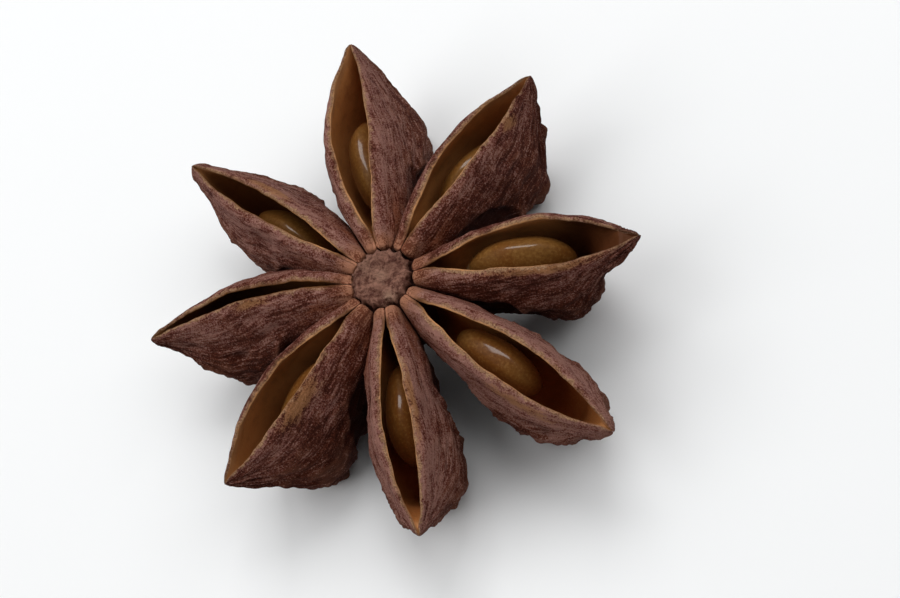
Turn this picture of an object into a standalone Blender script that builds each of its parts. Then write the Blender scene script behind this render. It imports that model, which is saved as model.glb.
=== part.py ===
"""Star anise, one dried fruit, lying with its seams up.

Eight boat-shaped carpels grew together round a short column. Each has split along its top
seam and holds one glossy seed, which is loose. The file works in millimetres and degrees
and makes its meshes in metres, +Z up, with the origin on the surface under the fruit.
"""

import math
from collections import namedtuple

import bmesh
import bpy
from mathutils import Vector

MM = 0.001

# Where the column stands, so that the origin is under the middle of the fruit's box
AXIS_X = 0.0
AXIS_Y = -0.7

# The seams' height at the column, and how far from its axis the carpels start
SEAM_HEIGHT = 9.1
ROOT = 2.15

# azimuth: where the carpel points. reach: from the column's axis to the tip.
# rise: how far the tip stands above the seam at the column. depth: from the seam to the keel.
# width and gape: across the body, and between the lips, where each is widest.
# heel: how much deeper the keel is, round heel_at, than its outline has it.
# lean, bow and bend: how far the keel, the middle and the tip are pushed sideways.
# seed_at: from the column's axis to the seed's middle. seed_deep: from the seam down to it.
# seed_aside: how far the seed is pushed sideways. seed_size: its share of the full seed size.
Carpel = namedtuple(
    "Carpel",
    "azimuth reach rise depth heel heel_at width gape lean bow bend seed_at seed_deep seed_aside seed_size",
)
CARPELS = (
    Carpel(103.0, 19.7, -0.6, 9.5, 1.2, 0.87, 6.5, 2.6, -0.9, 0.7, 0.0, 10.5, 3.9, 0.0, 1.0),
    Carpel(58.0, 17.25, -0.4, 9.4, 1.0, 0.85, 6.2, 2.0, -0.1, 0.35, -0.3, 9.2, 4.0, 0.0, 1.0),
    Carpel(7.0, 17.4, -0.6, 8.5, -2.6, 0.8, 6.3, 3.1, 0.0, 0.2, -0.4, 8.9, 3.0, 0.15, 0.98),
    Carpel(-36.0, 19.5, -0.8, 8.5, -0.6, 0.78, 5.55, 2.5, 0.1, 0.05, 0.2, 9.2, 3.5, -0.05, 0.89),
    Carpel(-79.0, 18.0, -0.8, 9.45, -0.9, 0.83, 5.75, 1.8, -1.0, -0.05, 0.3, 8.6, 3.8, -0.05, 0.9),
    Carpel(-127.5, 17.15, -0.8, 9.6, 0.0, 0.78, 6.9, 2.3, 0.9, -0.6, 0.0, 8.7, 3.9, 0.25, 1.0),
    Carpel(-171.0, 17.6, -0.4, 9.5, 0.0, 0.78, 6.5, 0.6, 0.5, -1.05, 0.2, 9.5, 4.2, 0.0, 0.88),
    Carpel(147.0, 19.1, -0.4, 9.1, -0.3, 0.78, 6.2, 1.5, -0.3, 0.03, -0.1, 9.8, 3.8, 0.25, 0.92),
)

# Outlines of a carpel from its root, 0, to its tip, 1, each as (place, share of the full size)
WIDTH_OUTLINE = (
    (0, 0.36), (0.12, 0.59), (0.25, 0.78), (0.42, 0.93), (0.58, 1.0), (0.73, 0.84), (0.86, 0.48),
    (0.95, 0.22), (1, 0.10),
)
DEPTH_OUTLINE = (
    (0, 0.62), (0.2, 0.80), (0.42, 0.95), (0.6, 1.0), (0.72, 0.91), (0.84, 0.56), (0.93, 0.25),
    (1, 0.07),
)
GAPE_OUTLINE = (
    (0, 0.0), (0.12, 0.16), (0.22, 0.42), (0.34, 0.74), (0.54, 1.0), (0.74, 0.82), (0.88, 0.42),
    (0.96, 0.08), (1, 0.0),
)

# The thickness of a lip, and how far the seam arches over its line, from root to tip
LIP_OUTLINE = ((0, 0.68), (0.15, 0.76), (0.4, 0.58), (0.7, 0.48), (1, 0.18))
ARCH_OUTLINE = ((0, 0.0), (0.25, 0.30), (0.55, 0.45), (0.8, 0.10), (0.92, -0.10), (1, 0.0))

# The wall. Shares of the depth run from the lip, 0, to the keel, 1; its ridge is where the
# carpel is widest. Shares of the width run from the middle, 0, to the widest point, 1.
WALL = 0.7
KEEL_THICKNESS = 1.2
KEEL_WIDTH_SHARE = 0.12
RIDGE_OUTLINE = ((0, 0.30), (0.3, 0.40), (0.55, 0.52), (0.8, 0.62), (1, 0.55))
FLANK_POWER = 2.3
FLANK_ROUND = 0.6
CAVITY_POWER = 3.0
CAVITY_ROUND = 0.5
LIP_CROWN = 0.05

# The slit between the lips is closed at both ends of the seam, down to a shallow groove
SLIT = 0.12
SLIT_WIDTH_SHARE = 0.6
GROOVE_DEPTH = 0.03
CLOSED_END = 0.08

# The crack left between two carpels, and the wall that stays where they press together
CRACK = 0.14
PRESSED_WALL = 0.4

# Where the wall's outline has its points, and how many outlines make a carpel
FLANK_STEPS = (0.06, 0.22, 0.38, 0.54, 0.70, 0.84, 0.94)
CAVITY_STEPS = (0.04, 0.3, 0.58, 0.82)
STATIONS = 19

# Low relief: knobs along the keel, slanted folds down the flanks, and a wavy seam
HEEL_SPREAD = 0.13
KNOB_HEIGHT = 0.25
KNOB_COUNT = 5.0
FOLD_HEIGHT = 0.14
FOLD_COUNT = 2.5
FOLD_SLANT = 0.4
WAVE_HEIGHT = 0.10
WAVE_COUNT = 3.0
PHASE_STEP = 5

# The column: its radius at each depth under the seam height, from the disc to the stalk's scar
COLUMN_OUTLINE = (
    (0.9, 0.0), (1.7, 0.0), (1.9, 0.15), (1.95, 0.6), (3.0, 1.3), (3.4, 2.4), (3.3, 5.0),
    (2.5, 6.4), (1.6, 7.0), (1.4, 7.5),
)
COLUMN_SIDES = 24
DISC_DENT = 0.25
SCAR_DENT = 0.4
SCALLOP = 0.1
SCALLOPED_RINGS = (1, 2, 3)

# The seeds
SEED_LENGTH = 7.8
SEED_HEIGHT = 5.2
SEED_THICKNESS = 3.2
SEED_SIDES = 12
SEED_RINGS = 9

# Colours, as linear red, green and blue
PERICARP_BROWN = (0.105, 0.045, 0.028)
PERICARP_ROUGHNESS = 0.75
SEED_BROWN = (0.16, 0.06, 0.018)
SEED_ROUGHNESS = 0.2


def remove_everything():
    """Empties the scene before the model is made."""
    for thing in list(bpy.data.objects):
        bpy.data.objects.remove(thing, do_unlink=True)


def material(name, colour, roughness):
    """A plain Principled material."""
    made = bpy.data.materials.new(name)
    made.use_nodes = True
    shader = made.node_tree.nodes["Principled BSDF"]
    shader.inputs["Base Color"].default_value = (*colour, 1.0)
    shader.inputs["Roughness"].default_value = roughness
    shader.inputs["Metallic"].default_value = 0.0
    return made


def along(outline, place):
    """Reads the smooth curve through an outline's points at a place from 0 to 1."""
    last = len(outline) - 1
    index = next((i for i in range(last) if place <= outline[i + 1][0]), last - 1)

    def slope(i):
        before, after = outline[max(i - 1, 0)], outline[min(i + 1, last)]
        return (after[1] - before[1]) / (after[0] - before[0])

    (start, low), (end, high) = outline[index], outline[index + 1]
    span = end - start
    t = (place - start) / span
    return (
        low * (1 + 2 * t) * (1 - t) ** 2
        + high * t * t * (3 - 2 * t)
        + span * t * (1 - t) * (slope(index) * (1 - t) - slope(index + 1) * t)
    )


def flank(share, lip, widest, ridge, power, roundness):
    """Half the width at a share of the depth: out from the lip to the ridge, then in to the keel."""
    if share < ridge:
        return lip + (widest - lip) * math.sin(math.pi / 2 * share / ridge)
    below = (share - ridge) / (1 - ridge)
    return widest * (1 - below**power) ** roundness


def wave_phase(carpel):
    """Where a carpel's waves start, so that no two carpels are alike."""
    return math.radians(carpel.azimuth) * PHASE_STEP


def wave(count, place, phase):
    """A slow wave along a carpel, which fades out at its root and its tip."""
    return math.sin(2 * math.pi * count * place + phase) * math.sin(math.pi * place)


def carpel_section(carpel, place):
    """The wall's closed outline at one place along a carpel, as (sideways, depth, inset) points."""
    phase = wave_phase(carpel)
    half_width = carpel.width / 2 * along(WIDTH_OUTLINE, place)
    depth = carpel.depth * along(DEPTH_OUTLINE, place) + KNOB_HEIGHT * wave(KNOB_COUNT, place, phase)
    depth += carpel.heel * math.exp(-(((place - carpel.heel_at) / HEEL_SPREAD) ** 2))
    slit = SLIT / 2 + carpel.gape / 2 * max(along(GAPE_OUTLINE, place), 0.0)
    slit = min(slit, half_width * SLIT_WIDTH_SHARE)
    edge = slit + along(LIP_OUTLINE, place)
    half_width = max(half_width, edge)
    keel = half_width * KEEL_WIDTH_SHARE
    ridge = along(RIDGE_OUTLINE, place)
    fold = FOLD_HEIGHT * math.sin(math.pi * place)
    outside = {}
    for side in (1, -1):
        points = [(side * (slit + edge) / 2, -LIP_CROWN, 0.0)]
        for share in FLANK_STEPS:
            reach = flank(share, edge, half_width, ridge, FLANK_POWER, FLANK_ROUND)
            turns = FOLD_COUNT * (share - FOLD_SLANT * place)
            reach += fold * share * math.sin(2 * math.pi * turns + phase * side)
            points.append((side * max(reach, keel), share * depth, 0.0))
        points.append((side * keel, depth, 0.0))
        outside[side] = points
    opening = min(1.0, min(place, 1 - place) / CLOSED_END)
    cavity_depth = max(depth - KEEL_THICKNESS, 0.0) * opening + GROOVE_DEPTH
    cavity_width = max(half_width - WALL, slit)
    inside = []
    for share in CAVITY_STEPS:
        reach = flank(share, slit, cavity_width, ridge, CAVITY_POWER, CAVITY_ROUND)
        reach = opening * reach + (1 - opening) * slit * (1 - share)
        inside.append((reach, share * cavity_depth, PRESSED_WALL))
    inner_left = [(-sideways, down, inset) for sideways, down, inset in inside]
    floor = [(0.0, cavity_depth, PRESSED_WALL)]
    return outside[1] + outside[-1][::-1] + inner_left + floor + inside[::-1]


def room(carpel, side):
    """Half the angle to the next carpel, on the anticlockwise side, 1, or the clockwise side, -1."""
    turns = [side * (other.azimuth - carpel.azimuth) % 360 for other in CARPELS if other is not carpel]
    return math.radians(min(turns) / 2)


def carpel_point(carpel, place, sideways, depth, inset=0.0):
    """A point of a carpel in the fruit's frame, in metres, kept clear of the carpels beside it."""
    out = ROOT + (carpel.reach - ROOT) * place
    seam = SEAM_HEIGHT + along(ARCH_OUTLINE, place) + carpel.rise * place**2
    seam += WAVE_HEIGHT * wave(WAVE_COUNT, place, wave_phase(carpel) + sideways)
    across = sideways + carpel.lean * depth / carpel.depth
    across += carpel.bow * 4 * place * (1 - place) + carpel.bend * place**2
    across = min(across, out * math.tan(room(carpel, 1)) - CRACK / 2 - inset)
    across = max(across, CRACK / 2 + inset - out * math.tan(room(carpel, -1)))
    turn = math.radians(carpel.azimuth)
    x = AXIS_X + out * math.cos(turn) - across * math.sin(turn)
    y = AXIS_Y + out * math.sin(turn) + across * math.cos(turn)
    return Vector((x, y, max(seam - depth, 0.0))) * MM


def make_object(name, body, finish):
    """Wraps a bmesh as a named object with one material."""
    bmesh.ops.recalc_face_normals(body, faces=body.faces)
    mesh = bpy.data.meshes.new(name)
    body.to_mesh(mesh)
    body.free()
    mesh.materials.append(finish)
    made = bpy.data.objects.new(name, mesh)
    bpy.context.scene.collection.objects.link(made)
    return made


def join_rings(body, rings):
    """Skins the faces between each ring of vertices and the next."""
    for near, far in zip(rings, rings[1:]):
        for i in range(len(near)):
            j = (i + 1) % len(near)
            body.faces.new((near[i], near[j], far[j], far[i]))


def close_ring(body, ring, middle):
    """Closes a ring of vertices with a fan round a middle point."""
    hub = body.verts.new(middle)
    for i in range(len(ring)):
        body.faces.new((ring[i], ring[(i + 1) % len(ring)], hub))


def make_carpel(name, carpel, finish):
    """One carpel's boat-shaped wall, open along its seam."""
    body = bmesh.new()
    rings = []
    for station in range(STATIONS + 1):
        place = station / STATIONS
        points = [carpel_point(carpel, place, *point) for point in carpel_section(carpel, place)]
        rings.append([body.verts.new(point) for point in points])
    join_rings(body, rings)
    for ring in (rings[0], rings[-1]):
        close_ring(body, ring, (ring[0].co + ring[len(ring) // 2].co) / 2)
    return make_object(name, body, finish)


def make_column(name, finish):
    """The column that the carpels grew from, with its scalloped disc and the stalk's scar."""
    body = bmesh.new()
    rings = []
    for number, (radius, depth) in enumerate(COLUMN_OUTLINE):
        scallop = SCALLOP if number in SCALLOPED_RINGS else 0.0
        ring = []
        for side in range(COLUMN_SIDES):
            turn = 2 * math.pi * side / COLUMN_SIDES
            out = radius + scallop * math.cos(len(CARPELS) * turn)
            x = AXIS_X + out * math.cos(turn)
            y = AXIS_Y + out * math.sin(turn)
            ring.append(body.verts.new(Vector((x, y, SEAM_HEIGHT - depth)) * MM))
        rings.append(ring)
    join_rings(body, rings)
    top = SEAM_HEIGHT - DISC_DENT
    bottom = SEAM_HEIGHT - COLUMN_OUTLINE[-1][1] + SCAR_DENT
    for ring, height in ((rings[0], top), (rings[-1], bottom)):
        close_ring(body, ring, Vector((AXIS_X, AXIS_Y, height)) * MM)
    return make_object(name, body, finish)


def make_pericarp(finish):
    """Joins the eight carpels and the column into one solid."""
    pericarp = make_column("pericarp", finish)
    parts = bpy.data.collections.new("carpels")
    bpy.context.scene.collection.children.link(parts)
    for number, carpel in enumerate(CARPELS, start=1):
        made = make_carpel(f"carpel_{number}", carpel, finish)
        bpy.context.scene.collection.objects.unlink(made)
        parts.objects.link(made)
    union = pericarp.modifiers.new("grown together", "BOOLEAN")
    union.operation = "UNION"
    union.operand_type = "COLLECTION"
    union.collection = parts
    union.solver = "EXACT"
    evaluated = pericarp.evaluated_get(bpy.context.evaluated_depsgraph_get())
    joined = bpy.data.meshes.new_from_object(evaluated)
    pericarp.modifiers.remove(union)
    pericarp.data = joined
    for made in list(parts.objects):
        bpy.data.objects.remove(made, do_unlink=True)
    bpy.data.collections.remove(parts)
    return pericarp


def make_seed(name, carpel, finish):
    """One flattened oval seed, standing on edge in its carpel."""
    body = bmesh.new()
    bmesh.ops.create_uvsphere(body, u_segments=SEED_SIDES, v_segments=SEED_RINGS, radius=0.5)
    for vert in body.verts:
        height, thickness, length = vert.co * carpel.seed_size
        place = (carpel.seed_at - ROOT + length * SEED_LENGTH) / (carpel.reach - ROOT)
        depth = carpel.seed_deep - height * SEED_HEIGHT
        sideways = carpel.seed_aside + thickness * SEED_THICKNESS
        vert.co = carpel_point(carpel, place, sideways, depth)
    body.normal_update()
    seed = make_object(name, body, finish)
    seed.data.shade_smooth()
    return seed


def main():
    """Makes the fruit."""
    remove_everything()
    pericarp_finish = material("pericarp", PERICARP_BROWN, PERICARP_ROUGHNESS)
    seed_finish = material("seed", SEED_BROWN, SEED_ROUGHNESS)
    fruit = bpy.data.objects.new("star_anise", None)
    bpy.context.scene.collection.objects.link(fruit)
    make_pericarp(pericarp_finish).parent = fruit
    for number, carpel in enumerate(CARPELS, start=1):
        make_seed(f"seed_{number}", carpel, seed_finish).parent = fruit


main()
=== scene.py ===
"""The looks of a dried star anise fruit: its husk, its split lips, its disc and its seeds.

Each pod, the column and each seed is made again here as a finer mesh, from the driving
dimensions that their solids have, with the fibres, lumps and torn lips of a dried husk.
Lengths are in millimetres and angles in degrees, and the meshes are made in metres.
"""

import math
from collections import namedtuple

import bpy
import numpy as np
from mathutils import Matrix, Vector


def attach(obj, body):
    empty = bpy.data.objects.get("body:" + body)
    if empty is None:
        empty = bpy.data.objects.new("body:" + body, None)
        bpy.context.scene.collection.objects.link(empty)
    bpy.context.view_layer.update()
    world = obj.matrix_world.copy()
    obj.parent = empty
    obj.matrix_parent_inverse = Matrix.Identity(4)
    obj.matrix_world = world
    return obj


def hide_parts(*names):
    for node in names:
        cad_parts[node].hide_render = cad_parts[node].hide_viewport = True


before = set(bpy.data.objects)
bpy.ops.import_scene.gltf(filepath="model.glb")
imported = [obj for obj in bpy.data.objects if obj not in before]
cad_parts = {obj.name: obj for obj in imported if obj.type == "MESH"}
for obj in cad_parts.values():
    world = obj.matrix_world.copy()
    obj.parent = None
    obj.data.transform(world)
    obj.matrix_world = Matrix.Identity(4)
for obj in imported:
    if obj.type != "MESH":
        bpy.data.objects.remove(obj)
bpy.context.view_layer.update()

MM = 0.001
TINY = 1e-6

# The driving dimensions, as the solids have them: the column's place and the seams' height
AXIS_X = 0.0
AXIS_Y = -0.7
SEAM_HEIGHT = 9.1
ROOT = 2.15

# azimuth: where the carpel points. reach: from the column's axis to the tip.
# rise: how far the tip stands above the seam at the column. depth: from the seam to the keel.
# width and gape: across the body, and between the lips, where each is widest.
# heel: how much deeper the keel is, round heel_at, than its outline has it.
# lean, bow and bend: how far the keel, the middle and the tip are pushed sideways.
# seed_at: from the column's axis to the seed's middle. seed_deep: from the seam down to it.
# seed_aside: how far the seed is pushed sideways. seed_size: its share of the full seed size.
Carpel = namedtuple(
    "Carpel",
    "azimuth reach rise depth heel heel_at width gape lean bow bend "
    "seed_at seed_deep seed_aside seed_size",
)
CARPELS = (
    Carpel(103.0, 19.7, -0.6, 9.5, 1.2, 0.87, 6.5, 2.6, -0.9, 0.7, 0.0, 10.5, 3.9, 0.0, 1.0),
    Carpel(58.0, 17.25, -0.4, 9.4, 1.0, 0.85, 6.2, 2.0, -0.1, 0.35, -0.3, 9.2, 4.0, 0.0, 1.0),
    Carpel(7.0, 17.4, -0.6, 8.5, -2.6, 0.8, 6.3, 3.1, 0.0, 0.2, -0.4, 8.9, 3.0, 0.15, 0.98),
    Carpel(-36.0, 19.5, -0.8, 8.5, -0.6, 0.78, 5.55, 2.5, 0.1, 0.05, 0.2, 9.2, 3.5, -0.05, 0.89),
    Carpel(-79.0, 18.0, -0.8, 9.45, -0.9, 0.83, 5.75, 1.8, -1.0, -0.05, 0.3, 8.6, 3.8, -0.05, 0.9),
    Carpel(-127.5, 17.15, -0.8, 9.6, 0.0, 0.78, 6.9, 2.3, 0.9, -0.6, 0.0, 8.7, 3.9, 0.25, 1.0),
    Carpel(-171.0, 17.6, -0.4, 9.5, 0.0, 0.78, 6.5, 0.6, 0.5, -1.05, 0.2, 9.5, 4.2, 0.0, 0.88),
    Carpel(147.0, 19.1, -0.4, 9.1, -0.3, 0.78, 6.2, 1.5, -0.3, 0.03, -0.1, 9.8, 3.8, 0.25, 0.92),
)

# Outlines of a carpel from its root, 0, to its tip, 1, each as (place, share of the full size)
WIDTH_OUTLINE = (
    (0, 0.36), (0.12, 0.59), (0.25, 0.78), (0.42, 0.93), (0.58, 1.0), (0.73, 0.84), (0.86, 0.48),
    (0.95, 0.22), (1, 0.10),
)
DEPTH_OUTLINE = (
    (0, 0.62), (0.2, 0.80), (0.42, 0.95), (0.6, 1.0), (0.72, 0.91), (0.84, 0.56), (0.93, 0.25),
    (1, 0.07),
)
GAPE_OUTLINE = (
    (0, 0.0), (0.12, 0.16), (0.22, 0.42), (0.34, 0.74), (0.54, 1.0), (0.74, 0.82), (0.88, 0.42),
    (0.96, 0.08), (1, 0.0),
)

# The lip's width, and how far the seam stands above a straight line, as (place, millimetres)
LIP_OUTLINE = ((0, 0.68), (0.15, 0.76), (0.4, 0.58), (0.7, 0.48), (1, 0.18))
ARCH_OUTLINE = ((0, 0.0), (0.25, 0.30), (0.55, 0.45), (0.8, 0.10), (0.92, -0.10), (1, 0.0))

# The wall, which is widest at its ridge, given as (place, share of the depth). Its hollow closes
# to a groove at both ends, and its keel has slow knobs, its flanks folds and its seam waves.
WALL = 0.7
KEEL_THICKNESS = 1.2
RIDGE_OUTLINE = ((0, 0.30), (0.3, 0.40), (0.55, 0.52), (0.8, 0.62), (1, 0.55))
FLANK_POWER = 2.3
FLANK_ROUND = 0.6
CAVITY_POWER = 3.0
CAVITY_ROUND = 0.5
LIP_CROWN = 0.05
SLIT = 0.12
SLIT_WIDTH_SHARE = 0.6
CLOSED_END = 0.08
END_GROOVE = 0.5
CRACK = 0.14
PRESSED_WALL = 0.4
HEEL_SPREAD = 0.13
KNOB_HEIGHT = 0.25
KNOB_COUNT = 5.0
FOLD_HEIGHT = 0.14
FOLD_COUNT = 2.5
FOLD_SLANT = 0.4
FOLD_FADE = 8
WAVE_HEIGHT = 0.10
WAVE_COUNT = 3.0
PHASE_STEP = 5

# The seeds
SEED_LENGTH = 7.8
SEED_HEIGHT = 5.2
SEED_THICKNESS = 3.2

# How finely a carpel is drawn: (from, to, steps) along it, and points down each side's walls.
# A crowding over 1 draws points closer together near the lip.
STATION_RUNS = ((0.0, 0.05, 14), (0.05, 0.9, 150), (0.9, 1.0, 30))
OUTSIDE_POINTS = 66
INSIDE_POINTS = 38
OUTSIDE_CROWDING = 1.15
INSIDE_CROWDING = 1.3
LINE_POINTS = 240

# The lips: a cut edge, which takes a share of the lip's width, and a rounded outer band
CUT_SHARE = 0.32
CUT_DROP = 0.07
LIP_ROUND = 0.45
LEAST_HOLLOW = 0.01

# Near the root the lips are shut: how far, how much less they are rounded, how much more is cut
SHUT_PLACES = (0.06, 0.15)
SHUT_SHARE = 0.85
SHUT_ROUND = 0.5
SHUT_CUT = 0.2

# The rounded ends that the lips have at the disc, like fingers, and the rounded tip
FINGER_LENGTH = 0.26
FINGER_DROP = 0.24
FINGER_DEPTHS = (0.3, 1.5)
FINGER_MIDDLE = 0.45
FINGER_PULL = 0.7
TIP_LENGTH = 0.75
TIP_LEAST = 0.002

# Where the fingers have grown onto the disc: the direction, how wide round it, as cosines, how
# much of their rounding is gone there, and how far the disc reaches out to them
FUSED_AZIMUTH = 172.0
FUSED_SPREAD = (0.35, 0.85)
FUSED_SHARE = 0.75
FUSED_REACH = 0.18

# The start of each noise, so that no two are alike
STARTS = {
    "crease": 5,
    "wrinkle": 11,
    "crinkle": 15,
    "fibre": 19,
    "lip wave": 21,
    "lip tear": 25,
    "drift": 31,
    "lump": 40,
    "keel knob": 70,
    "silk": 90,
    "disc": 131,
    "disc edge": 141,
    "seed": 171,
}

# Large odd numbers, and masks for the lowest bits, that stir a point's whole numbers into one
# that looks random
STIR_AXES = (374761393, 668265263, 974634777)
STIR_START = 1274126177
STIR_FIRST = 1103515245
STIR_SECOND = 668265263
STIR_SHIFTS = (13, 15, 16)
LOW_BITS = 0xFFFFFFFF
LAST_BITS = 0xFFFF

# Relief of the dried husk. A grain is how fast a relief changes for each millimetre: along the
# pod, down its flank, and from pod to pod, or the same all ways. The fan's slant is how far the
# fibres run down the flank as they run out. From here on a pair is where a smooth step starts
# and ends, and a four adds its values there.
FAN_SLANT = 0.12
DRIFT = 0.5
DRIFT_GRAIN = 0.7
WRINKLE_HEIGHT = 0.11
WRINKLE_GRAIN = (0.42, 1.15, 7.3)
CRINKLE_HEIGHT = 0.055
CRINKLE_GRAIN = (1.1, 2.3, 7.3)
FIBRE_HEIGHT = 0.02
FIBRE_GRAIN = (0.5, 3.2, 7.3)
LUMP_HEIGHT = 0.26
LUMP_GRAIN = 0.5
LUMP_AT_LIP = 0.2
CALM_LIPS = (0.05, 0.45, 0.35, 1.0)
RELIEF_FROM = (0.05, 0.6)

# The crease beyond which no neighbour pressed a flank: where it starts, and how it slants
PRESS_DEPTH = 0.3
PRESS_FADE = (-0.8, 0.1)
PRESS_PLACES = (0.08, 0.2)
CREASE_HEIGHT = 0.12
CREASE_WIDTH = 0.22
CREASE_PLACE = 0.30
CREASE_SLANT = 0.32
CREASE_WANDER = 0.05
CREASE_GRAIN = (4.0, 3.1, 2.0)
CREASE_SHARES = (0.2, 0.42)
CREASE_STEADY = 0.6

# The rugged knobs on the keel: their form, and the shares of the depth and length that have them
KEEL_KNOB_HEIGHT = 0.2
KEEL_KNOB_GRAIN = (0.5, 0.5, 0.7)
KEEL_KNOB_GAIN = 2.6
KEEL_KNOB_SUNK = 0.7
KEEL_SHARES = (0.52, 0.8)
KEEL_PLACES = (0.3, 0.55)
KEEL_TIP = (0.01, 0.12)
# How dark the rugged keel is made: partly its own darker colour, partly painted shade
KEEL_DARK_AND_SHADE = 0.8

# The torn lips, which wave sideways and, a few stations farther on, up and down
LIP_WAVE = 0.09
LIP_WAVE_GRAIN = (0.8, 5.0, 2.7)
LIP_WAVE_RISE = 0.5
LIP_WAVE_LAG = 7
LIP_TEAR = 0.06
LIP_TEAR_GRAIN = (2.6, 5.0, 2.7)
TEAR_WIDTH = 0.35
TEAR_ROOT = 0.1
TEAR_TIP = 0.06

# The silky inside, whose two sides are far apart in its noise, so that they aren't alike
SILK_HEIGHT = 0.012
SILK_GRAIN = (0.8, 1.6, 1.0)
SILK_SIDES = 9.0
SILK_FROM = (0.1, 0.8)

# Tan stains beside the lips: (pod, side, how far out, how far down from the lip, length, breadth)
STAINS = (
    (2, -1, 13.6, 0.5, 0.9, 0.6),
    (3, -1, 11.0, 0.2, 5.0, 0.45),
    (4, -1, 13.5, 0.8, 3.5, 0.6),
    (5, 1, 9.5, 0.2, 3.5, 0.4),
    (6, 1, 10.0, 0.5, 2.6, 0.9),
    (7, 1, 9.5, 0.3, 1.6, 0.5),
    (8, -1, 12.0, 0.5, 3.5, 0.5),
)

# Painted shade inside the pods: how much darker each pod is painted inside toward its tip, where
# little light gets in, and the places between which it darkens
SHADED_INSIDES = (
    (0.2, 0.6, 0.9),
    (0.35, 0.5, 0.9),
    (0.95, 0.5, 0.75),
    (0.4, 0.62, 0.85),
    (0.1, 0.7, 0.95),
    (0.4, 0.65, 0.95),
    (0.7, 0.0, 0.05),
    (0.6, 0.2, 0.45),
)

# How much paler than the rest each pod's husk is: partly each pod's own tone, partly painted light on
# the pods that face the light and painted shade on those that face away from it
PALENESS_AND_LIGHT = (0.2, -0.4, -0.4, 0.5, 0.4, -0.4, -0.1, 0.2)

# The column: its radius at each depth under the seam height, from the disc to the stalk's scar
COLUMN_OUTLINE = (
    (0.9, 0.0), (1.7, 0.0), (1.9, 0.15), (1.95, 0.6), (3.0, 1.3), (3.4, 2.4), (3.3, 5.0),
    (2.5, 6.4), (1.6, 7.0), (1.4, 7.5),
)
DISC_DENT = 0.25
SCAR_DENT = 0.4
SCAR_HOLE = 0.05
DISC_HOLE = 0.01
DISC_SIDES = 288
DISC_RINGS = 150
DISC_CROWDING = 1.5

# The disc's edge: how much wider it is than its solid, the points that it has between the
# fingers, and its cracked rim. Depths are down from the seam height.
DISC_WIDER = 0.01
DISC_POINT = 0.22
DISC_POINT_SPREAD = 0.3
DISC_POINT_RADII = (0.9, 1.8)
DISC_POINT_DEPTHS = (0.6, 1.5)
DISC_RIM = 0.07
DISC_RIM_RADIUS = 1.8
DISC_RIM_WIDTH = 0.16
DISC_EDGE = 0.05
DISC_EDGE_GRAIN = 1.5
DISC_EDGE_FROM = (1.0, 1.7)
DISC_EDGE_TO = (2.0, 2.4)

# The disc's bumps, and its largest lumps and palest patches as (x, y, size, how high or how pale)
DISC_RELIEF = 0.14
DISC_GRAIN = 1.9
DISC_CALM = (0.05, 0.5)
DISC_TOP = (0.3, 1.0)
DISC_LUMPS = ((0.0, 0.1, 0.45, 0.17), (0.32, -0.61, 0.35, -0.15))
DISC_PATCHES = ((0.75, -1.55, 0.45, 1.0), (0.0, 0.15, 0.5, 0.5), (-1.2, 0.9, 0.7, 0.35))

# The seeds' finer form: broader at the outer end, with a crest that is sharper over 1 and
# rounder under it, a little uneven, and with a scar that is dented into the inner end
SEED_SIDES = 96
SEED_RINGS = 96
SEED_HOLE = 0.004
SEED_BROADER = 0.12
SEED_CRESTS = (1.2, 1.2, 1.2, 0.8, 1.2, 1.2, 1.2, 1.2)
SEED_UNEVEN = 0.012
SEED_GRAIN = 0.6
SEED_SCAR_AT = -0.46
SEED_SCAR_LENGTH = 0.05
SEED_SCAR_DENT = 0.06

# Colours, as linear red, green and blue
SKIN_PURPLE = (0.180, 0.068, 0.055)
# The husk's own red tone, also used as painted shade on the lower flanks
SKIN_RED_AND_SHADE = (0.098, 0.022, 0.010)
SKIN_BROWN = (0.125, 0.038, 0.018)
SKIN_PALE = (0.310, 0.154, 0.120)
# The husk's own darkest tone, also used as painted shade in its sunk relief and on the column's sides
# in the cracks
SKIN_DARK_AND_SHADE = (0.024, 0.004, 0.002)
# A pale bloom: partly the husk's own grey bloom, partly a painted sheen
SKIN_BLOOM_AND_SHEEN = (0.370, 0.210, 0.172)
# Tan on the raised relief: partly the pale creases, partly a painted highlight on the ridges
SKIN_TAN_AND_RIDGE_LIGHT = (0.260, 0.112, 0.066)
# Deep dark red: partly the darker colour of pressed flanks and rugged keels, partly painted shade in
# the hollows between the pods, under the keels and in the disc's hollows
SKIN_DEEP_AND_SHADE = (0.045, 0.008, 0.003)
SKIN_ROOT = (0.070, 0.012, 0.004)
SKIN_WARM = (0.190, 0.058, 0.028)
LIP_GOLD = (0.300, 0.138, 0.058)
LIP_TAN = (0.420, 0.250, 0.140)
LIP_BROWN = (0.180, 0.085, 0.045)
FINGER_TAN = (0.345, 0.152, 0.088)
FINGER_BROWN = (0.140, 0.042, 0.022)
INSIDE_GOLD = (0.630, 0.275, 0.090)
# Painted shade, darker deeper inside the pods
INSIDE_DEEP_SHADE = (0.530, 0.208, 0.062)
# The inside's own darker mottling, and painted shade deepest inside the pods
INSIDE_DARK_AND_SHADE = (0.250, 0.076, 0.020)
INSIDE_FLECK = (0.460, 0.240, 0.090)
# The pale band under the lips: partly the inside's own golden tone, partly painted light where the
# light comes in
INSIDE_BAND_AND_LIGHT = (0.500, 0.260, 0.120)
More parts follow.
